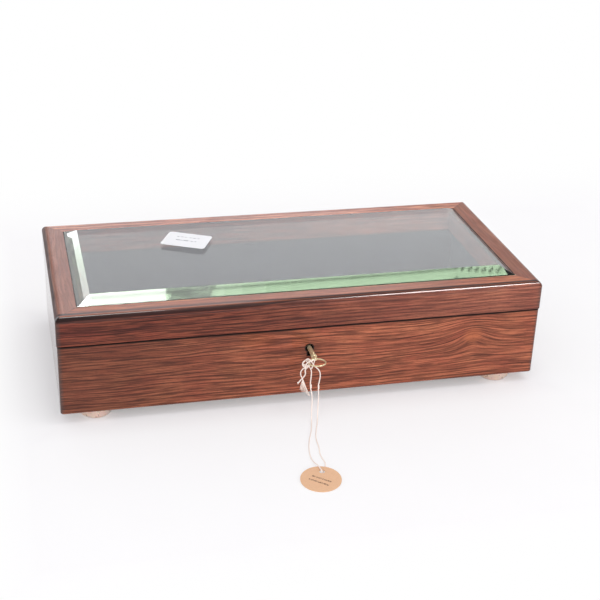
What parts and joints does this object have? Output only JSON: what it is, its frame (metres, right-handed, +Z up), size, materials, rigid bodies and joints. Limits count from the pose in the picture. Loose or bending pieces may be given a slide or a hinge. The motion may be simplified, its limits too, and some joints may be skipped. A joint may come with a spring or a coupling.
{
  "type": "coin display case",
  "caption": "Flat hardwood table case with a hinged mitred lid, thick bevelled glass, velvet-lined well, box lock with turned pipe key, and a round ticket on a string.",
  "frame": {"origin": "on the table under the middle of the case, midway between the four feet", "axes": "+X along the length towards the right end seen from the front, +Y to the hinged back, +Z up"},
  "size_m": [0.4, 0.3212, 0.0994],
  "materials": {
    "rosewood": "polished figured rosewood with dark streaks",
    "plain_board": "unpolished board",
    "velvet": "short-pile dark velvet",
    "foot_rubber": "translucent pale bumper",
    "mastic": "dark bedding compound",
    "plate_glass": "polished plate glass, green at the bevels",
    "label_paper": "satin white paper",
    "lock_brass": "satin",
    "key_brass": "worn satin",
    "hinge_brass": "satin",
    "ticket_card": "buff card",
    "string_cotton": "twisted white cotton"
  },
  "bodies": {
    "case": {"case_front": "rosewood", "case_back": "rosewood", "case_left": "rosewood", "case_right": "rosewood", "bottom_board": "plain_board", "floor_lining": "velvet", "lining_front": "velvet", "lining_back": "velvet", "lining_left": "velvet", "lining_right": "velvet", "foot_front_left": "foot_rubber", "foot_front_right": "foot_rubber", "foot_back_left": "foot_rubber", "foot_back_right": "foot_rubber", "lock_plate": "lock_brass", "lock_cap": "lock_brass", "lock_pin": "lock_brass", "lock_stumps": "lock_brass", "hinge_left_base_leaf": "hinge_brass", "hinge_left_pin": "hinge_brass", "hinge_right_base_leaf": "hinge_brass", "hinge_right_pin": "hinge_brass", "ticket": "ticket_card", "ticket_string": "string_cotton", "string_knot": "string_cotton", "string_tails": "string_cotton"},
    "lid": {"lid_front": "rosewood", "lid_back": "rosewood", "lid_left": "rosewood", "lid_right": "rosewood", "glazing_mastic": "mastic", "glass_pane": "plate_glass", "price_label": "label_paper", "link_plate": "lock_brass", "hinge_left_lid_leaf": "hinge_brass", "hinge_right_lid_leaf": "hinge_brass"},
    "key": {"key": "key_brass"},
    "bolt": {"lock_bolt": "lock_brass"}
  },
  "joints": [
    {"name": "lid_hinge", "type": "hinge", "parent": "case", "child": "lid", "pos_m": [0, 0.0967, 0.06865], "axis": [-1, 0, 0], "range_deg": [0, 95]},
    {"name": "key_turn", "type": "hinge", "parent": "case", "child": "key", "pos_m": [0.001, -0.0935, 0.0505], "axis": [0, 1, 0], "range_deg": [0, 180]},
    {"name": "bolt_slide", "type": "slide", "parent": "case", "child": "bolt", "axis": [1, 0, 0], "range_m": [0, 0.006]}
  ],
  "couplings": [
    {"joint": "key_turn", "follows": "bolt_slide", "rad_per_m": 523.59}
  ]
}
